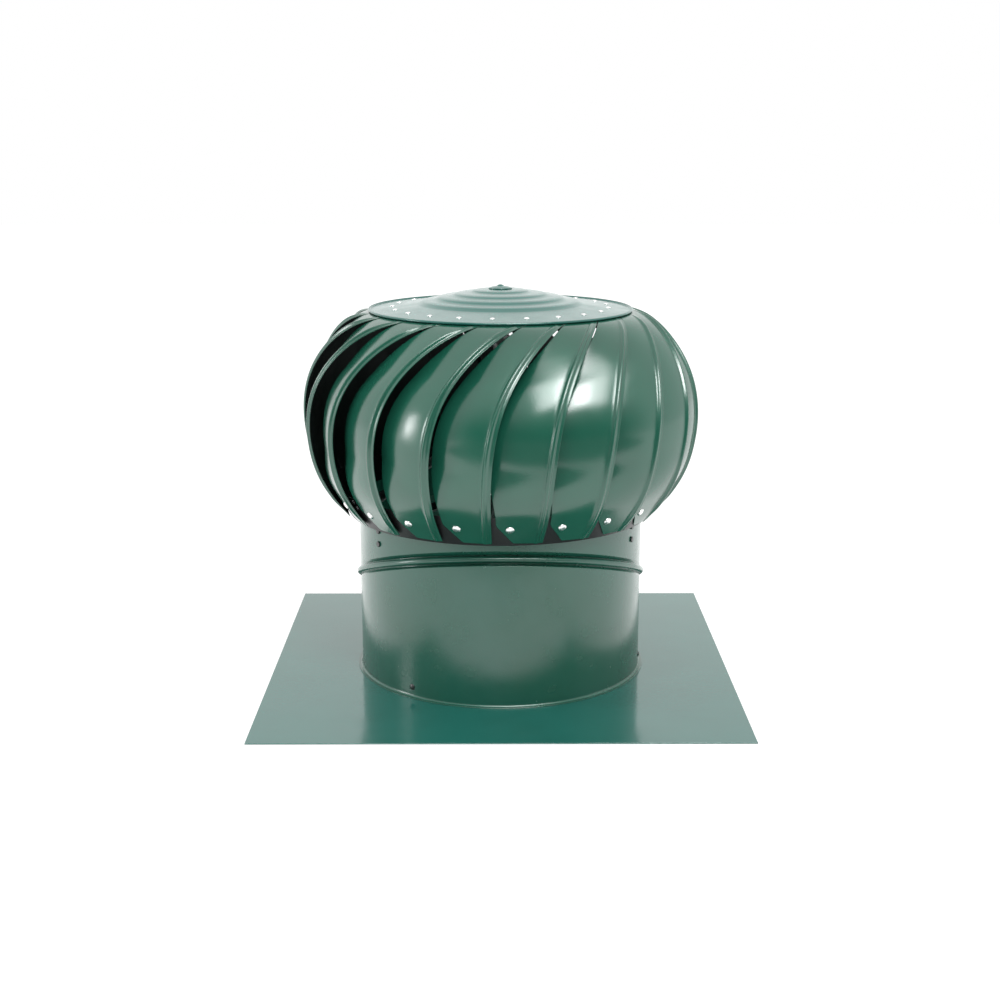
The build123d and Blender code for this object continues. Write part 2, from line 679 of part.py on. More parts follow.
with BuildPart() as first_vane:
    loft(sections)
    with BuildSketch(Plane.XY.offset(CAP_SEAT - SHEET)):
        with BuildLine():
            near, far = VANE_TAB_RADII
            start = TAB_END - VANE_TAB_ANGLE
            inner_arc = CenterArc((0, 0), near, start - 90, VANE_TAB_ANGLE)
            outer_arc = CenterArc((0, 0), far, start - 90, VANE_TAB_ANGLE)
            Line(inner_arc @ 0, outer_arc @ 0)
            Line(inner_arc @ 1, outer_arc @ 1)
        make_face()
    extrude(amount=SHEET)
    with BuildSketch(facing(FOOT_LEFT, 230, 0)):
        with BuildLine():
            Polyline(*VANE_CORNER, close=True)
        make_face()
    extrude(amount=-120, mode=Mode.SUBTRACT)
    with BuildSketch(cone_plane(FOOT_RIVET_AZIMUTH, FOOT_RIVET_HEIGHT)):
        Circle(RIVET_SHANK_RADIUS)
    extrude(amount=6, both=True, mode=Mode.SUBTRACT)
    with BuildSketch(Plane.XY.offset(CAP_SEAT - 5)):
        with Locations(outward(TAB_RIVET_AZIMUTH) * TAB_RIVET_RADIUS):
            Circle(RIVET_SHANK_RADIUS)
    extrude(amount=10, mode=Mode.SUBTRACT)

vanes = []
for turn in range(VANE_COUNT):
    with BuildPart() as vane:
        add(first_vane.part, rotation=(0, 0, PITCH * turn))
    vanes.append(vane.part)

# ---------------------------------------------------------------- bearing plate and spider
with BuildPart() as cap_rivet_holes:
    with BuildSketch(Plane.XY.offset(CAP_SEAT - 5)):
        with PolarLocations(TAB_RIVET_RADIUS, VANE_COUNT, start_angle=TAB_RIVET_AZIMUTH - 90):
            Circle(RIVET_SHANK_RADIUS)
    extrude(amount=10)

DISC_TOP = CAP_SEAT - SHEET
DISC_BORE = 30.0
DISC_FLANGE_RADIUS = 40.0
HUB_FLANGE_GAUGE = 3.0
with BuildPart() as bearing_plate:
    add(housing(UPPER_BEARING, DISC_FLANGE_RADIUS, DISC_TOP, HUB_FLANGE_GAUGE).part)
    with BuildSketch(Plane.XY.offset(DISC_TOP - PLATE_DISC_GAUGE)):
        Circle(PLATE_DISC_RADIUS)
        Circle(DISC_BORE, mode=Mode.SUBTRACT)
    extrude(amount=PLATE_DISC_GAUGE)
    add(cap_rivet_holes.part, mode=Mode.SUBTRACT)

HUB_FLANGE_TOP = LOWER_BEARING + BEARING_WIDTH + 4
HUB_FLANGE_RADIUS = 34.0
SPIDER_BOLT_CIRCLE = 26.0
SPIDER_BOLT_RADIUS = 2.5
SPIDER_BOLT_DEPTH = 7.0
SPIDER_BOLT_ACROSS = 8.0       # over the flats of its head
SPIDER_BOLT_HEAD = 3.5
with BuildPart() as spider_hub:
    add(housing(LOWER_BEARING, HUB_FLANGE_RADIUS, HUB_FLANGE_TOP, HUB_FLANGE_GAUGE).part)
    for azimuth in ARM_TURNS:
        with BuildSketch(Plane.XY.offset(HUB_FLANGE_TOP)):
            with Locations(outward(azimuth) * SPIDER_BOLT_CIRCLE):
                Circle(SPIDER_BOLT_RADIUS)
        extrude(amount=-6, mode=Mode.SUBTRACT)

ARM_FOOT = 193.0
ARM_FLAT = (18.0, 75.0)        # level part of an arm on the hub, from and to these radii
ARM_GAP = 0.1                  # arm to ring
arm_inset = RING_WALL + (ARM_GAUGE / 2 + ARM_GAP) / cos(radians(RING_LEAN))
spider_arms = []
for azimuth in ARM_TURNS:
    with BuildPart() as arm:
        with BuildSketch(meridian(azimuth)):
            with BuildLine():
                FilletPolyline(
                    (ARM_FLAT[0], HUB_FLANGE_TOP + ARM_GAUGE / 2),
                    (ARM_FLAT[1], HUB_FLANGE_TOP + ARM_GAUGE / 2),
                    (ring_radius(ARM_FOOT) - arm_inset, ARM_FOOT),
                    (ring_radius(RING_TOP) - arm_inset, RING_TOP),
                    radius=4,
                )
            trace(line_width=ARM_GAUGE)
        extrude(amount=ARM_WIDTH / 2, both=True)
        add(lower_ring.part, mode=Mode.SUBTRACT)
        for height in ARM_RIVET_HEIGHTS:
            with BuildSketch(cone_plane(azimuth, height)):
                Circle(RIVET_SHANK_RADIUS)
            extrude(amount=-6, mode=Mode.SUBTRACT)
        with BuildSketch(Plane.XY.offset(HUB_FLANGE_TOP)):
            with Locations(outward(azimuth) * SPIDER_BOLT_CIRCLE):
                Circle(SPIDER_BOLT_RADIUS)
        extrude(amount=6, mode=Mode.SUBTRACT)
    spider_arms.append(arm.part)

with BuildPart() as spider_bolts:
    for azimuth in ARM_TURNS:
        with BuildSketch(Plane.XY.offset(HUB_FLANGE_TOP - SPIDER_BOLT_DEPTH)):
            with Locations(outward(azimuth) * SPIDER_BOLT_CIRCLE):
                Circle(SPIDER_BOLT_RADIUS)
        extrude(amount=SPIDER_BOLT_DEPTH + ARM_GAUGE)
        with BuildSketch(Plane.XY.offset(HUB_FLANGE_TOP + ARM_GAUGE)):
            with Locations(outward(azimuth) * SPIDER_BOLT_CIRCLE):
                RegularPolygon(SPIDER_BOLT_ACROSS / 2, 6, major_radius=False)
        extrude(amount=SPIDER_BOLT_HEAD)

# ---------------------------------------------------------------- cap
with BuildPart() as cap:
    with BuildSketch(Plane.XZ):
        with BuildLine():
            top = FilletPolyline(*CAP_STEPS, (BUTTON_RADIUS, CAP_TOP), radius=CAP_ROUND)
            with Locations((0, -SHEET)):
                add(top)
            Line((BUTTON_RADIUS, CAP_TOP), (BUTTON_RADIUS, CAP_TOP - SHEET))
            Polyline(
                CAP_STEPS[0],
                (CAP_RADIUS - 1, CAP_SEAT + SHEET),
                (CAP_RADIUS - 1, CAP_SEAT),
                (CAP_STEPS[0][0], CAP_SEAT),
            )
        make_face()
        with Locations((CAP_RADIUS - CAP_HEM, CAP_SEAT + CAP_HEM)):
            Circle(CAP_HEM)
        with Locations((BUTTON_RADIUS / 2, CAP_TOP - SHEET / 2)):
            Rectangle(BUTTON_RADIUS, SHEET)
    revolve(axis=Axis.Z)
    add(cap_rivet_holes.part, mode=Mode.SUBTRACT)

with BuildPart() as cap_button:
    with BuildSketch(Plane.XZ):
        with BuildLine():
            dome(BUTTON_RADIUS, CAP_TOP + BUTTON_RIM, CAP_TOP + BUTTON_CROWN)
            Polyline(
                (0, CAP_TOP + BUTTON_CROWN),
                (0, CAP_TOP),
                (BUTTON_RADIUS, CAP_TOP),
                (BUTTON_RADIUS, CAP_TOP + BUTTON_RIM),
            )
        make_face()
    revolve(axis=Axis.Z)
    with BuildSketch(Plane.XZ):
        with BuildLine():
            dome(NUB_RADIUS, CAP_TOP + NUB_FOOT, BUTTON_TOP)
            Polyline(
                (0, BUTTON_TOP),
                (0, CAP_TOP + 1),
                (NUB_RADIUS, CAP_TOP + 1),
                (NUB_RADIUS, CAP_TOP + NUB_FOOT),
            )
        make_face()
    revolve(axis=Axis.Z)

# ---------------------------------------------------------------- rivets of the head
with BuildPart() as first_ring_rivet:
    with Locations(cone_plane(FOOT_RIVET_AZIMUTH, FOOT_RIVET_HEIGHT, SHEET + SEAT_GAP)):
        add(pop_rivet(2 * SHEET + SEAT_GAP))
    add(first_vane.part, mode=Mode.SUBTRACT)
    add(lower_ring.part, mode=Mode.SUBTRACT)

with BuildPart() as ring_rivets:
    with PolarLocations(0, VANE_COUNT):
        add(first_ring_rivet.part)

with BuildPart() as cap_rivets:
    with Locations((0, 0, CAP_SEAT + SHEET)):
        with PolarLocations(TAB_RIVET_RADIUS, VANE_COUNT, start_angle=TAB_RIVET_AZIMUTH - 90):
            add(pop_rivet(2 * SHEET + PLATE_DISC_GAUGE))

with BuildPart() as arm_rivets:
    with Locations(*ARM_RIVET_PLACES):
        add(pop_rivet(SHEET + ARM_GAUGE + ARM_GAP))
    add(lower_ring.part, mode=Mode.SUBTRACT)

# ---------------------------------------------------------------- named pieces
pieces = {
    "flashing_plate": flashing_plate.part,
    "lower_throat": lower_throat.part,
    "collar_rivets": collar_rivets.part,
    "upper_throat": upper_throat.part,
    "brace_hub": brace_hub.part,
    "brace_screws": brace_screws.part,
    "hub_bolts": hub_bolts.part,
    "shaft": shaft.part,
    "bearing_spacer": bearing_spacer.part,
    "shaft_lower_nut": shaft_lower_nut,
    "shaft_top_nut": shaft_top_nut,
    "shaft_washer": shaft_washer.part,
    "lower_inner_race": lower_inner_race,
    "upper_inner_race": upper_inner_race,
    "lower_outer_race": lower_outer_race,
    "upper_outer_race": upper_outer_race,
    "lower_bearing_balls": lower_bearing_balls,
    "upper_bearing_balls": upper_bearing_balls,
    "lower_circlip": lower_circlip,
    "upper_circlip": upper_circlip,
    "lower_ring": lower_ring.part,
    "ring_rivets": ring_rivets.part,
    "bearing_plate": bearing_plate.part,
    "spider_hub": spider_hub.part,
    "spider_bolts": spider_bolts.part,
    "arm_rivets": arm_rivets.part,
    "cap": cap.part,
    "cap_rivets": cap_rivets.part,
    "cap_button": cap_button.part,
}
for number, leg in enumerate(brace_legs, 1):
    pieces[f"brace_leg_{number}"] = leg
for number, arm in enumerate(spider_arms, 1):
    pieces[f"spider_arm_{number}"] = arm
for number, vane in enumerate(vanes, 1):
    pieces[f"vane_{number:02d}"] = vane

for name, piece in pieces.items():
    piece.label = name
    export_step(piece, f"parts/{name}.step")
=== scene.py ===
"""Looks of the roof turbine ventilator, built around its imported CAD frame.

+Z is up and the front is at -Y.  An azimuth is in degrees from the front, towards +X.
Sheets, rivets and other shapes are in millimetres; camera, stage and lamps are in metres.
"""

from math import comb, cos, pi, radians, sin, sqrt

import bpy
import numpy as np
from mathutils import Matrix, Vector


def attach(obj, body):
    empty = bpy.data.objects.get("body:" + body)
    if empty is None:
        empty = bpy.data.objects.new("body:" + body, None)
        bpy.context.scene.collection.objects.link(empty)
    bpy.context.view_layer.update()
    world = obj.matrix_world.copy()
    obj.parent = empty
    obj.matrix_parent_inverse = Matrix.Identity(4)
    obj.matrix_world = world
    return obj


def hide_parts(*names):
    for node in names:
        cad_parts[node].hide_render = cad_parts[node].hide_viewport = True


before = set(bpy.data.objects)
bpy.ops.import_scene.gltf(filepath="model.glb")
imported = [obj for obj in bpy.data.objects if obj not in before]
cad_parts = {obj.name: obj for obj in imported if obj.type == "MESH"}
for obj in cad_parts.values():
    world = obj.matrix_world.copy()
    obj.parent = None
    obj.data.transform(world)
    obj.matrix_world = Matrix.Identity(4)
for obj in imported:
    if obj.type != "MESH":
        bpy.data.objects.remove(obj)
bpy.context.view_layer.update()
MM = 0.001


# ---------------------------------------------------------------- camera
SENSOR, LENS = 36.0, 55.62
CAMERA_PLACE = (-0.0067, -1.640, 0.576)
CAMERA_DIP, CAMERA_YAW = 13.49, -0.22


def make_camera():
    data = bpy.data.cameras.new("photo_camera")
    data.sensor_width = SENSOR
    data.lens = LENS
    data.clip_start = 0.05
    data.clip_end = 50.0
    camera = bpy.data.objects.new("photo_camera", data)
    camera.location = CAMERA_PLACE
    camera.rotation_euler = (radians(90 - CAMERA_DIP), 0.0, radians(CAMERA_YAW))
    bpy.context.scene.collection.objects.link(camera)
    bpy.context.scene.camera = camera


# ---------------------------------------------------------------- node helpers
class Nodes:
    """Short words for building one node tree."""

    def __init__(self, tree):
        self.tree = tree
        tree.nodes.clear()

    def new(self, kind, inputs=None, **settings):
        node = self.tree.nodes.new(kind)
        for name, value in settings.items():
            setattr(node, name, value)
        for name, value in (inputs or {}).items():
            if isinstance(value, bpy.types.NodeSocket):
                self.tree.links.new(value, node.inputs[name])
            else:
                node.inputs[name].default_value = value
        return node

    def math(self, operation, a, b=0.0):
        node = self.new("ShaderNodeMath", {0: a, 1: b}, operation=operation)
        return node.outputs[0]

    def ramp(self, value, low, high, start, end):
        """Eased from start, where the value is low, to end, where it is high."""
        node = self.new(
            "ShaderNodeMapRange",
            {"Value": value, "From Min": low, "From Max": high, "To Min": start, "To Max": end},
            interpolation_type="SMOOTHSTEP",
        )
        return node.outputs[0]

    def noise(self, scale, detail, roughness):
        place = self.new("ShaderNodeTexCoord").outputs["Object"]
        node = self.new(
            "ShaderNodeTexNoise",
            {"Vector": place, "Scale": scale, "Detail": detail, "Roughness": roughness},
        )
        return node.outputs["Fac"]

    def mix(self, factor, a, b):
        node = self.new("ShaderNodeMix", data_type="RGBA")
        for socket, value in ((0, factor), (6, a), (7, b)):
            if isinstance(value, bpy.types.NodeSocket):
                self.tree.links.new(value, node.inputs[socket])
            else:
                node.inputs[socket].default_value = value
        return node.outputs[2]


def new_material(name):
    material = bpy.data.materials.new(name)
    material.use_nodes = True
    return material, Nodes(material.node_tree)


def grey(value):
    return (value, value, value, 1.0)


def finish_material(n, shader):
    n.new("ShaderNodeOutputMaterial", {"Surface": shader.outputs[0]})


# ---------------------------------------------------------------- materials
PAINT_IOR = 1.62
PAINT_EDGE = 0.0009                    # radius of the film over a sheet's edge, in metres


def paint_material(name, base, deep, roughness, orange_peel, wave, specular):
    """Stoved gloss paint: colour drifts a little, the film has orange peel and slow waves."""
    material, n = new_material(name)
    drift = n.noise(scale=9.0, detail=3.0, roughness=0.55)
    colour = n.mix(n.ramp(drift, 0.35, 0.68, 0.0, 1.0), base, deep)
    patches = n.noise(scale=34.0, detail=4.0, roughness=0.6)
    rough = n.math("ADD", roughness, n.ramp(patches, 0.3, 0.75, -0.03, 0.05))
    edge = n.new("ShaderNodeBevel", {"Radius": PAINT_EDGE}, samples=4)
    fine = n.new(
        "ShaderNodeBump",
        {
            "Height": n.noise(scale=620.0, detail=1.0, roughness=0.4),
            "Strength": orange_peel,
            "Distance": 0.0004,
            "Normal": edge.outputs[0],
        },
    )
    slow = n.new(
        "ShaderNodeBump",
        {
            "Height": n.noise(scale=11.0, detail=1.0, roughness=0.4),
            "Strength": wave,
            "Distance": 0.01,
            "Normal": fine.outputs[0],
        },
    )
    shader = n.new(
        "ShaderNodeBsdfPrincipled",
        {
            "Base Color": colour,
            "Roughness": rough,
            "IOR": PAINT_IOR,
            "Specular IOR Level": specular,
            "Normal": slow.outputs[0],
        },
    )
    finish_material(n, shader)
    return material


METAL_SHADE = 0.72                     # brightness of a metal's darker grain, as a share


def metal_material(name, base, roughness, grain, spangle):
    """Bare or plated metal with a fine grain, and zinc spangle where asked."""
    material, n = new_material(name)
    place = n.new("ShaderNodeTexCoord").outputs["Object"]
    cells = n.new("ShaderNodeTexVoronoi", {"Vector": place, "Scale": 180.0})
    clouds = n.noise(scale=70.0, detail=4.0, roughness=0.6)
    shade = n.math("ADD", clouds, n.math("MULTIPLY", cells.outputs[0], spangle))
    dark = tuple(METAL_SHADE * c for c in base[:3]) + (1.0,)
    colour = n.mix(n.ramp(shade, 0.3, 0.8, 0.0, 1.0), dark, base)
    patches = n.noise(scale=300.0, detail=3.0, roughness=0.6)
    rough = n.math("ADD", roughness, n.ramp(patches, 0.3, 0.7, -0.06, 0.08))
    bump = n.new(
        "ShaderNodeBump",
        {
            "Height": n.noise(scale=900.0, detail=2.0, roughness=0.6),
            "Strength": grain,
            "Distance": 0.0003,
        },
    )
    shader = n.new(
        "ShaderNodeBsdfPrincipled",
        {"Base Color": colour, "Metallic": 1.0, "Roughness": rough, "Normal": bump.outputs[0]},
    )
    finish_material(n, shader)
    return material


GREEN = (0.010, 0.095, 0.060, 1.0)
GREEN_DEEP = (0.008, 0.080, 0.050, 1.0)
THROAT_GREEN = (0.010, 0.088, 0.060, 1.0)
PLATE_GREEN = (0.013, 0.128, 0.104, 1.0)
PLATE_GREEN_DEEP = (0.011, 0.114, 0.092, 1.0)
# Near-black painted shade for the vanes' inner faces, where the inside of the head lies in shade.
PAINTED_SHADE_BLACK = (0.003, 0.007, 0.006, 1.0)
PAINTED_SHADE_BLACK_DEEP = (0.002, 0.005, 0.004, 1.0)
RING_BROWN = (0.012, 0.011, 0.012, 1.0)
RING_BROWN_DEEP = (0.008, 0.008, 0.009, 1.0)
FASTENER_DARK = (0.010, 0.014, 0.013, 1.0)
FASTENER_DEEP = (0.006, 0.009, 0.009, 1.0)

# Colour, deeper colour, roughness, orange peel, slow wave, specular level.
PAINTS = {
    "vane_paint": (GREEN, GREEN_DEEP, 0.20, 0.10, 0.006, 0.5),
    "throat_paint": (THROAT_GREEN, GREEN_DEEP, 0.24, 0.16, 0.10, 0.5),
    "plate_paint": (PLATE_GREEN, PLATE_GREEN_DEEP, 0.12, 0.08, 0.02, 0.5),
    "cap_paint": (PLATE_GREEN, PLATE_GREEN_DEEP, 0.20, 0.12, 0.04, 0.5),
    # Painted shade: the vanes' inner faces are near-black and matte, standing in for the dark
    # inside of the head.
    "inside_painted_shade": (PAINTED_SHADE_BLACK, PAINTED_SHADE_BLACK_DEEP, 0.62, 0.20, 0.02, 0.12),
    "dark_ring": (RING_BROWN, RING_BROWN_DEEP, 0.40, 0.25, 0.02, 0.3),
    "dark_fastener": (FASTENER_DARK, FASTENER_DEEP, 0.42, 0.30, 0.0, 0.5),
}
# Colour, roughness, grain, spangle.
METALS = {
    "aluminium_rivet": ((0.93, 0.93, 0.92, 1.0), 0.30, 0.15, 0.0),
    "zinc_steel": ((0.60, 0.61, 0.62, 1.0), 0.36, 0.20, 0.6),
    "bearing_steel": ((0.72, 0.72, 0.73, 1.0), 0.16, 0.05, 0.0),
}


def make_materials():
    paints = {name: paint_material(name, *look) for name, look in PAINTS.items()}
    metals = {name: metal_material(name, *look) for name, look in METALS.items()}
    return {**paints, **metals}


# ---------------------------------------------------------------- mesh helpers
def outward(azimuth):
    return np.array([sin(radians(azimuth)), -cos(radians(azimuth)), 0.0])


def around(azimuth):
    return np.array([cos(radians(azimuth)), sin(radians(azimuth)), 0.0])


UP = np.array([0.0, 0.0, 1.0])
SHARP_ANGLE = 32.0                     # edges that turn more than this stay crisp


def ease(value, start, end):
    """From 0 at start to 1 at end, slow at both."""
    t = min(max((value - start) / (end - start), 0.0), 1.0)
    return t * t * (3 - 2 * t)


def make_object(name, points, faces, materials, face_slots=None):
    """Smooth-shaded mesh object from points in millimetres."""
    mesh = bpy.data.meshes.new(name)
    mesh.from_pydata([tuple(p * MM) for p in points], [], faces)
    for material in materials:
        mesh.materials.append(material)
    if face_slots is not None:
        mesh.polygons.foreach_set("material_index", face_slots)
    mesh.shade_smooth()
    mesh.set_sharp_from_angle(angle=radians(SHARP_ANGLE))
    mesh.validate()
    mesh.update()
    obj = bpy.data.objects.new(name, mesh)
    bpy.context.scene.collection.objects.link(obj)
    return obj


def sheet_grid(outer, inner):
    """Closed sheet from two grids of points: its points, its faces and which side each is on."""
    rows, columns = outer.shape[:2]
    points = np.concatenate([outer.reshape(-1, 3), inner.reshape(-1, 3)])
    back = rows * columns
    faces = []
    side = []

    def at(i, j, layer=0):
        return layer * back + i * columns + j

    for i in range(rows - 1):
        for j in range(columns - 1):
            faces.append((at(i, j), at(i, j + 1), at(i + 1, j + 1), at(i + 1, j)))
            side.append(0)
            faces.append((at(i, j, 1), at(i + 1, j, 1), at(i + 1, j + 1, 1), at(i, j + 1, 1)))
            side.append(1)
    for i in range(rows - 1):
        faces.append((at(i, 0), at(i + 1, 0), at(i + 1, 0, 1), at(i, 0, 1)))
        last = columns - 1
        faces.append((at(i + 1, last), at(i, last), at(i, last, 1), at(i + 1, last, 1)))
        side += [0, 0]
    for j in range(columns - 1):
        faces.append((at(0, j + 1), at(0, j), at(0, j, 1), at(0, j + 1, 1)))
        last = rows - 1
        faces.append((at(last, j), at(last, j + 1), at(last, j + 1, 1), at(last, j, 1)))
        side += [0, 0]
    return points, faces, side


# ---------------------------------------------------------------- vanes
SHEET = 0.8                            # thickness of the vanes and the cap
VANE_COUNT = 21
PITCH = 360 / VANE_COUNT
# Control points of a vane's outer edge, as radius and height from foot to cap.
VANE_PROFILE = np.array([
    (167.5, 177.2),
    (199.0, 212.5),
    (212.5, 233.9),
    (227.1, 317.9),
    (205.2, 322.6),
    (179.8, 388.1),
    (136.0, 390.0),
])
FOOT_ANGLE, BODY_ANGLE, TAB_ANGLE = 15.8, 18.0, 16.7
FOOT_RIVET = 2.84
EDGE_LEAD, SWEEP = 11.3, 30.4
TUCK, CROWN = 16.5, 1.6
RIB_WIDTH, RIB_HEIGHT, RIB_FLANK, LIP = 7.0, 2.6, 0.42, 3.0
# Shares of the edge's length between which the sheet changes, first near the foot, then the cap.
WIDEN, NARROW = (0.1, 0.36), (0.75, 0.93)
TUCK_IN, TUCK_OUT = (0.14, 0.36), (0.72, 1.0)
CROWN_IN, CROWN_OUT = (0.05, 0.36), (0.8, 1.0)
RIB_IN, RIB_OUT = (0.0, 0.1), (0.88, 1.0)
CROWN_FADE, RIB_FADE, RIB_FOOT = 0.97, 0.94, 0.25
# The ring under the feet is a cone: its radius at the datum height, and its slope outward.
RING_RADIUS, RING_DATUM, RING_SLOPE = 165.0, 178.0, 0.6176
RING_SLANT = sqrt(1 + RING_SLOPE**2)
SEAT_GAP = 0.15
CAP_SEAT = 390.4
TAB_RADII = (133.0, 120.0, 106.0)
TAB_END = FOOT_RIVET + EDGE_LEAD + SWEEP
# The foot's inner corner is cut off below a height, along a line that goes in as it goes down.
FOOT_LEFT = FOOT_RIVET + EDGE_LEAD - FOOT_ANGLE
CUT_TOP, CUT_START, CUT_SLOPE = 205.0, -8.0, 32.0 / 36.0
UNCUT = -1000.0
EDGE_SAMPLES = 600
VANE_ROWS = 84
SKIN_COLUMNS, RIB_COLUMNS, LIP_COLUMNS = 20, 12, 2
ROW_POINTS = SKIN_COLUMNS + RIB_COLUMNS + LIP_COLUMNS


def bezier(t):
    """Point on the vane's edge, and its derivative, at a parameter from 0 to 1."""
    degree = len(VANE_PROFILE) - 1
    weight = [comb(degree, k) * t**k * (1 - t) ** (degree - k) for k in range(degree + 1)]
    slope = [
        degree * comb(degree - 1, k) * t**k * (1 - t) ** (degree - 1 - k) for k in range(degree)
    ]
    return weight @ VANE_PROFILE, slope @ np.diff(VANE_PROFILE, axis=0)


def edge_table():
    """Parameters of the edge against its length, so that shares are shares of length."""
    steps = np.linspace(0, 1, EDGE_SAMPLES)
    points = np.array([bezier(t)[0] for t in steps])
    length = np.concatenate([[0], np.cumsum(np.linalg.norm(np.diff(points, axis=0), axis=1))])
    return steps, length / length[-1]


EDGE_STEPS, EDGE_SHARES = edge_table()


def rib_shape(distance):
    """Height of the rib, from 0 to 1, at a distance from its inner side towards the lip."""
    t = distance / RIB_WIDTH
    return ease(t, 0.0, RIB_FLANK) * (1 - ease(t, 1 - RIB_FLANK, 1.0))


def vane_row(share):
    """One row of points across a vane, from its tucked edge to its outer edge."""
    point, tangent = bezier(np.interp(share, EDGE_SHARES, EDGE_STEPS))
    radius, height = point
    run, rise = tangent / np.linalg.norm(tangent)
    normal_out, normal_up = rise, -run

    span = FOOT_ANGLE + (BODY_ANGLE - FOOT_ANGLE) * ease(share, *WIDEN)
    span -= (BODY_ANGLE - TAB_ANGLE) * ease(share, *NARROW)
    middle = FOOT_RIVET + EDGE_LEAD + SWEEP * share**4 - span / 2

    # How far the foot's tucked side goes in, to lie on the ring's cone with the seat's gap.
    ring = RING_RADIUS + RING_SLOPE * (height - RING_DATUM)
    on_ring = radius - ring - (SHEET + SEAT_GAP) * RING_SLANT
    on_ring /= normal_out - normal_up * RING_SLOPE
    tuck = on_ring + (TUCK - on_ring) * ease(share, *TUCK_IN)
    tuck *= 1 - ease(share, *TUCK_OUT)
    crown = -on_ring / 4 + (CROWN + on_ring / 4) * ease(share, *CROWN_IN)
    crown *= 1 - CROWN_FADE * ease(share, *CROWN_OUT)
    rib = RIB_HEIGHT * (1 - RIB_FADE * ease(share, *RIB_OUT))
    rib *= RIB_FOOT + (1 - RIB_FOOT) * ease(share, *RIB_IN)

    right = radius * sin(radians(span / 2))
    left = -(radius - tuck * normal_out) * sin(radians(span / 2))
    start = max(left, foot_cut(radius, height, middle))
    skin_end = right - LIP - RIB_WIDTH
    places = list(np.linspace(start, skin_end, SKIN_COLUMNS))
    places += [skin_end + RIB_WIDTH * k / RIB_COLUMNS for k in range(1, RIB_COLUMNS + 1)]
    places += [right - LIP / 2, right]

    normal = normal_out * outward(middle) + normal_up * UP
    origin = outward(middle) * radius + UP * height
    row = []
    for x in places:
        across = (right - x) / (right - left)
        sag = x * x * normal_out / (2 * radius)
        bulge = 4 * crown * across * (1 - across)
        skin = bulge - sag - tuck * across + rib * rib_shape(x - skin_end)
        row.append(origin + around(middle) * x + normal * skin)
    return row


def foot_cut(radius, height, middle):
    """Where the cut corner at the foot's inner side starts, across the row."""
    if height > CUT_TOP:
        return UNCUT
    line = CUT_START + (CUT_TOP - height) * CUT_SLOPE
    turn = radians(middle - FOOT_LEFT)
    return (line - radius * sin(turn)) / cos(turn)


def tab_row(radius):
    """One row of the flat tab under the cap, which spans a slightly smaller angle than the body."""
    row = []
    for k in range(ROW_POINTS):
        azimuth = TAB_END - TAB_ANGLE + TAB_ANGLE * k / (ROW_POINTS - 1)
        row.append(outward(azimuth) * radius + UP * CAP_SEAT)
    return row


def vane_points():
    """Grids of a vane's outer and inner face, from its foot to its tab."""
    shares = [k / (VANE_ROWS - 1) for k in range(VANE_ROWS)]
    rows = [vane_row(share) for share in shares]
    rows += [tab_row(radius) for radius in TAB_RADII]
    outer = np.array(rows)
    along = np.gradient(outer, axis=0)
    across = np.gradient(outer, axis=1)
    normal = np.cross(across, along)
    normal /= np.linalg.norm(normal, axis=2, keepdims=True)
    return outer, outer - normal * SHEET


def make_vanes(materials):
    outer, inner = vane_points()
    points, faces, side = sheet_grid(outer, inner)
    for number in range(1, VANE_COUNT + 1):
        turn = radians(PITCH * (number - 1))
        spin = np.array([[cos(turn), -sin(turn), 0], [sin(turn), cos(turn), 0], [0, 0, 1]])
        name = f"vane_{number:02d}"
        vane = make_object(
            f"{name}_sheet",
            points @ spin.T,
            faces,
            # The second slot paints the inner faces near-black, as painted shade for the inside of
            # the head.
            [materials["vane_paint"], materials["inside_painted_shade"]],
            side,
        )
        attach(vane, "head")
        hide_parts(name)


# ---------------------------------------------------------------- rivets
RIVET_HEIGHT = 195.0
RIVET_HEAD, RIVET_EDGE, RIVET_RISE = 4.3, 0.45, 1.9
RIVET_SIDES, RIVET_RINGS = 28, 7


def dome_rivet(centre, x_axis, y_axis, normal, size):
    """Domed head with a short upright edge, as rings of points that end at the crown."""
    x_axis, y_axis, normal = (size * axis for axis in (x_axis, y_axis, normal))
    points = []
    faces = []
    for ring in range(RIVET_RINGS):
        lift = radians(90 * max(ring - 1, 0) / (RIVET_RINGS - 1))
        radius = RIVET_HEAD * cos(lift)
        height = 0.0 if ring == 0 else RIVET_EDGE + (RIVET_RISE - RIVET_EDGE) * sin(lift)
        for k in range(RIVET_SIDES):
            turn = 2 * pi * k / RIVET_SIDES
            spoke = x_axis * cos(turn) + y_axis * sin(turn)
            points.append(centre + spoke * radius + normal * height)
    points.append(centre + normal * RIVET_RISE)
    crown = len(points) - 1
    for ring in range(RIVET_RINGS - 1):
        for k in range(RIVET_SIDES):
            a = ring * RIVET_SIDES + k
            b = ring * RIVET_SIDES + (k + 1) % RIVET_SIDES
            faces.append((a, b, b + RIVET_SIDES, a + RIVET_SIDES))
    last = (RIVET_RINGS - 1) * RIVET_SIDES
    for k in range(RIVET_SIDES):
        faces.append((last + k, last + (k + 1) % RIVET_SIDES, crown))
    faces.append(tuple(reversed(range(RIVET_SIDES))))
    return points, faces


def rivet_circle(name, azimuth, place, facing, material, size=1.0):
    """One head per vane, the first at an azimuth; place and facing are (outward, up) pairs."""
    points = []
    faces = []
    for number in range(VANE_COUNT):
        out = outward(azimuth + PITCH * number)
        centre = out * place[0] + UP * place[1]
        normal = out * facing[0] + UP * facing[1]
        rise = UP * facing[0] - out * facing[1]
        head, skin = dome_rivet(centre, around(azimuth + PITCH * number), rise, normal, size)
        first = len(points)
        points += head
        faces += [tuple(first + corner for corner in face) for face in skin]
    return make_object(name, points, faces, [material])


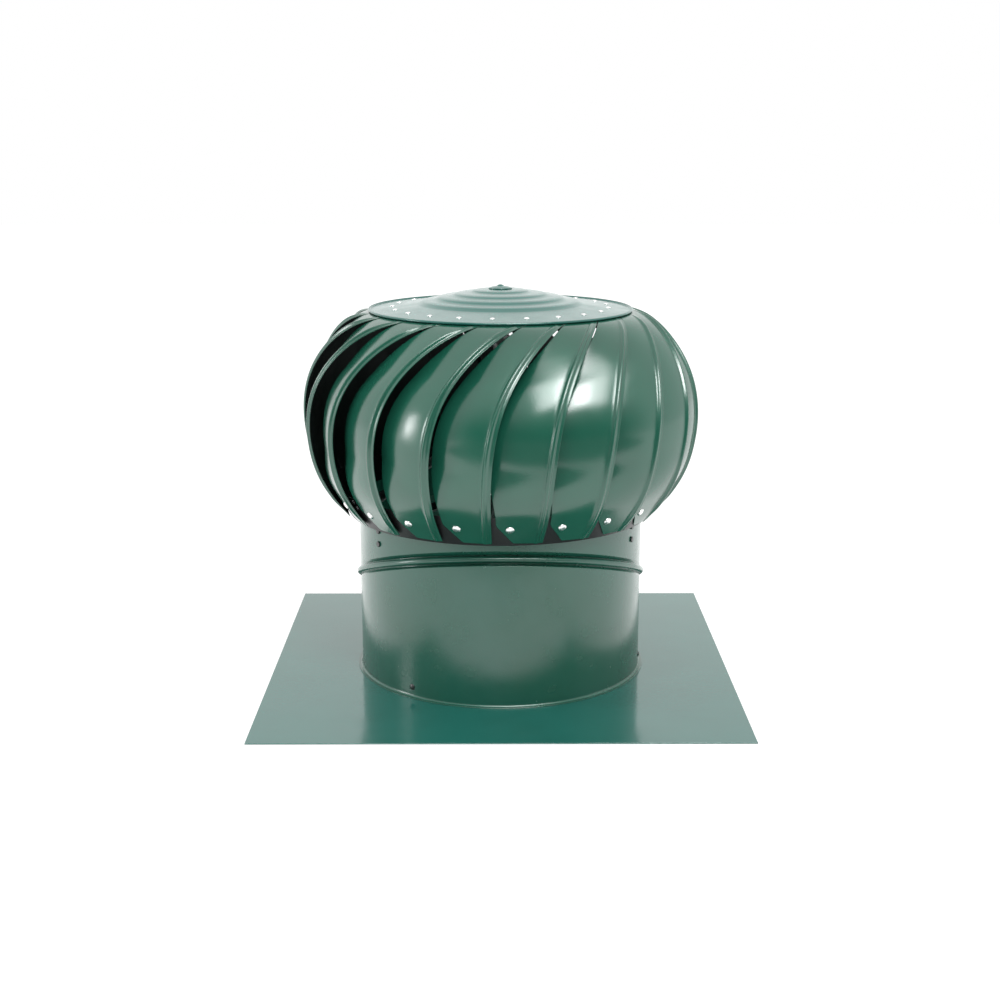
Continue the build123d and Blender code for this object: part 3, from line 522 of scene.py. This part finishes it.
def make_ring_rivets(materials):
    """One head over each vane foot, square to the ring's cone."""
    facing = (1 / RING_SLANT, -RING_SLOPE / RING_SLANT)
    lift = SHEET + SEAT_GAP
    place = (
        RING_RADIUS + RING_SLOPE * (RIVET_HEIGHT - RING_DATUM) + lift * facing[0],
        RIVET_HEIGHT + lift * facing[1],
    )
    heads = rivet_circle(
        "ring_rivet_heads", FOOT_RIVET, place, facing, materials["aluminium_rivet"]
    )
    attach(heads, "head")
    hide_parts("ring_rivets")


# ---------------------------------------------------------------- cap
CAP_RIM, CAP_RIM_HEIGHT, CAP_HEM = 140.0, 391.7, 1.3
HEM_TURNS = range(-150, 91, 20)        # degrees round the hem's roll, ending on top of it
CAP_FLANGE = ((138.2, 391.4), (90.0, 396.6))       # the flange rises towards the steps
CAP_STEPS = (
    (85.5, 398.4),
    (81.0, 400.8),
    (69.5, 401.8),
    (64.5, 405.0),
    (51.5, 405.9),
    (46.5, 408.6),
    (31.5, 409.4),
    (27.5, 411.7),
    (12.0, 412.5),
)
CAP_TURN_STEPS, CAP_SOFTENINGS = 180, 3
CAP_RIVET, CAP_RIVET_RADIUS, CAP_RIVET_SIZE = 30.05, 114.5, 0.6


def cap_profile():
    """Outside of the cap from rim to button, its corners cut off in rounds until they are soft."""
    corners = [np.array(corner) for corner in CAP_FLANGE + CAP_STEPS]
    for _ in range(CAP_SOFTENINGS):
        softer = [corners[0]]
        for a, b in zip(corners, corners[1:]):
            softer += [0.75 * a + 0.25 * b, 0.25 * a + 0.75 * b]
        corners = softer + [corners[-1]]
    roll = [np.array((cos(radians(turn)), sin(radians(turn)))) for turn in HEM_TURNS]
    hem_centre = np.array((CAP_RIM - CAP_HEM, CAP_RIM_HEIGHT))
    return [hem_centre + CAP_HEM * point for point in roll] + corners


def make_cap(materials):
    """Revolved sheet of the cap: the outside with its hem, and the underside back to the hem."""
    outside = cap_profile()
    sheet_part = outside[len(HEM_TURNS) - 1:]
    section = outside + [point - (0.0, SHEET) for point in reversed(sheet_part)]
    ring = len(section)
    points = []
    faces = []
    for k in range(CAP_TURN_STEPS):
        way = outward(360 * k / CAP_TURN_STEPS)
        points += [way * radius + UP * height for radius, height in section]
        here, there = k * ring, (k + 1) % CAP_TURN_STEPS * ring
        for j in range(ring):
            after = (j + 1) % ring
            faces.append((here + j, there + j, there + after, here + after))
    sheet = make_object("cap_sheet", points, faces, [materials["cap_paint"]])
    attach(sheet, "head")
    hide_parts("cap")


def make_cap_rivets(materials):
    """Small heads through the cap's flange and the vane tabs, square to the flange."""
    (rim, low), (foot, high) = CAP_FLANGE
    slope = (high - low) / (rim - foot)
    slant = sqrt(1 + slope**2)
    place = (CAP_RIVET_RADIUS, low + slope * (rim - CAP_RIVET_RADIUS))
    facing = (slope / slant, 1 / slant)
    heads = rivet_circle(
        "cap_rivet_heads", CAP_RIVET, place, facing, materials["aluminium_rivet"], CAP_RIVET_SIZE
    )
    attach(heads, "head")
    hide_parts("cap_rivets")


# ---------------------------------------------------------------- finishes of the CAD pieces
# Finish of each CAD piece whose name holds one of these words; every other is zinc plated.
FINISHES = {
    "plate_paint": ("flashing_plate",),
    "throat_paint": ("throat",),
    "cap_paint": ("cap_button",),
    "dark_ring": ("lower_ring",),
    "aluminium_rivet": ("arm_rivets",),
    "dark_fastener": ("collar_rivets", "brace_screws"),
    "bearing_steel": ("_race", "balls", "brace_leg", "brace_hub"),
}


def finish_of(node):
    for finish, words in FINISHES.items():
        if any(word in node for word in words):
            return finish
    return "zinc_steel"


def paint_frame(materials):
    for node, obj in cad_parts.items():
        obj.data.materials.clear()
        obj.data.materials.append(materials[finish_of(node)])


# ---------------------------------------------------------------- stage and light
WHITE = grey(1.0)
ROOM_DARK, ROOM_CEILING = 0.10, 1.25   # behind the camera, level and overhead
ROOM_DEPTH, ROOM_RISE = (-0.80, -0.20), (0.12, 0.72)   # y and z of a direction where it fades
BACK_GLARE = 0.35                      # the overexposed backdrop, as gloss sees it
SOFTBOX_COSINE = 0.3                   # a patch fades out below this cosine from its middle
# Softboxes as gloss sees them: azimuth, elevation, half width, half height, soft edge, strength.
SOFTBOXES = ((15.5, 53.0, 0.36, 0.30, 0.07, 10.5), (-81.0, 6.0, 0.08, 0.08, 0.04, 6.5))


def softbox_glow(n, way, azimuth, elevation, half_width, half_height, edge, strength):
    """Soft-edged bright patch of the studio, in one direction."""
    side = around(azimuth)
    flat = outward(azimuth)
    lift = radians(elevation)
    centre = flat * cos(lift) + UP * sin(lift)
    rise = UP * cos(lift) - flat * sin(lift)
    ahead, across, above = (
        n.new("ShaderNodeVectorMath", {0: way, 1: tuple(axis)}, operation="DOT_PRODUCT").outputs[1]
        for axis in (centre, side, rise)
    )
    mask = n.ramp(ahead, 0.0, SOFTBOX_COSINE, 0.0, strength)
    for distance, half in ((across, half_width), (above, half_height)):
        away = n.math("ABSOLUTE", distance)
        mask = n.math("MULTIPLY", mask, n.ramp(away, half - edge, half + edge, 1.0, 0.0))
    return mask


def make_world():
    """White for the camera, and a soft studio for everything else, dimmer behind the camera."""
    world = bpy.data.worlds.new("studio")
    bpy.context.scene.world = world
    world.use_nodes = True
    n = Nodes(world.node_tree)
    direction = n.new("ShaderNodeTexCoord").outputs["Generated"]
    way = n.new("ShaderNodeSeparateXYZ", {0: direction})
    path = n.new("ShaderNodeLightPath")
    glossy = path.outputs["Is Glossy Ray"]
    front = n.ramp(way.outputs["Y"], *ROOM_DEPTH, 1.0, 0.0)
    room = n.math("MULTIPLY", front, n.ramp(way.outputs["Z"], *ROOM_RISE, ROOM_DARK, ROOM_CEILING))
    back = n.math("ADD", 1.0, n.math("MULTIPLY", glossy, BACK_GLARE))
    strength = n.math("ADD", room, n.math("MULTIPLY", n.math("SUBTRACT", 1.0, front), back))
    for box in SOFTBOXES:
        glow = n.math("MULTIPLY", softbox_glow(n, direction, *box), glossy)
        strength = n.math("ADD", strength, glow)
    seen = path.outputs["Is Camera Ray"]
    strength = n.math("ADD", n.math("MULTIPLY", strength, n.math("SUBTRACT", 1.0, seen)), seen)
    background = n.new("ShaderNodeBackground", {"Color": WHITE, "Strength": strength})
    n.new("ShaderNodeOutputWorld", {"Surface": background.outputs[0]})


def flat_panel(name, corners, material):
    points = np.array(corners) / MM
    panel = make_object(name, points, [(0, 1, 2, 3)], [material])
    return panel


FLOOR_HALF, FLOOR_LEVEL = 8.0, -0.0004
FLOOR_GREY, FLOOR_GREY_LIGHT = grey(0.5), grey(0.55)
FLOOR_GRAIN = (0.90, 0.94)             # how much of the lighter grey, in the grain's two extremes
FLOOR_GLOW, FLOOR_IN_GLOSS = 0.62, 1.8


def make_floor():
    """White table: a grey that glows a little, and brighter still where gloss reflects it."""
    material, n = new_material("floor")
    path = n.new("ShaderNodeLightPath")
    grain = n.ramp(n.noise(scale=3.0, detail=2.0, roughness=0.5), 0.3, 0.7, *FLOOR_GRAIN)
    shade = n.mix(grain, FLOOR_GREY, FLOOR_GREY_LIGHT)
    diffuse = n.new("ShaderNodeBsdfDiffuse", {"Color": shade})
    glow = n.new("ShaderNodeEmission", {"Color": WHITE, "Strength": FLOOR_GLOW})
    both = n.new("ShaderNodeAddShader", {0: diffuse.outputs[0], 1: glow.outputs[0]})
    bright = n.new("ShaderNodeEmission", {"Color": WHITE, "Strength": FLOOR_IN_GLOSS})
    bounced = n.math("MAXIMUM", path.outputs["Is Glossy Ray"], path.outputs["Is Transmission Ray"])
    shown = n.new("ShaderNodeMixShader", {0: bounced, 1: both.outputs[0], 2: bright.outputs[0]})
    finish_material(n, shown)
    half, z = FLOOR_HALF, FLOOR_LEVEL
    corners = [(-half, -half, z), (half, -half, z), (half, half, z), (-half, half, z)]
    flat_panel("floor", corners, material)


DARK_ROOM, DARK_LEVEL = 0.22, 0.002
DARK_FAR, DARK_NEAR = (7.0, -7.0), (1.6, -0.78)    # half width and y of the card's two ends


def make_dark_front():
    """The unlit room in front of the white table, met only by reflections."""
    material, n = new_material("dark_room")
    shade = n.new("ShaderNodeEmission", {"Color": WHITE, "Strength": DARK_ROOM})
    finish_material(n, shade)
    (far, far_y), (near, near_y), z = DARK_FAR, DARK_NEAR, DARK_LEVEL
    corners = [(-far, far_y, z), (far, far_y, z), (near, near_y, z), (-near, near_y, z)]
    card = flat_panel("dark_front", corners, material)
    card.visible_camera = False
    card.visible_diffuse = False
    card.visible_shadow = False
    card.visible_transmission = False


LAMP_AIM = (0.0, 0.0, 0.28)
LAMP_DIFFUSE = 0.35                    # share of a lamp's power that diffuse light gets


def softbox(name, place, size, power):
    """Lamp for diffuse light only, because gloss sees the world's patches instead."""
    data = bpy.data.lights.new(name, "AREA")
    data.shape = "RECTANGLE"
    data.size, data.size_y = size
    data.energy = power
    data.diffuse_factor = LAMP_DIFFUSE
    data.specular_factor = 0.0
    lamp = bpy.data.objects.new(name, data)
    lamp.location = place
    aim = Vector(LAMP_AIM) - Vector(place)
    lamp.rotation_euler = aim.to_track_quat("-Z", "Y").to_euler()
    bpy.context.scene.collection.objects.link(lamp)


def make_lights():
    softbox("softbox_right", place=(0.56, -1.93, 2.66), size=(0.70, 1.30), power=36.0)
    softbox("softbox_left", place=(-2.72, -0.48, 0.60), size=(0.40, 0.90), power=12.0)


# ---------------------------------------------------------------- everything together
make_camera()
materials = make_materials()
paint_frame(materials)
make_vanes(materials)
make_ring_rivets(materials)
make_cap(materials)
make_cap_rivets(materials)
make_world()
make_floor()
make_dark_front()
make_lights()
bpy.context.scene.view_settings.view_transform = "Standard"
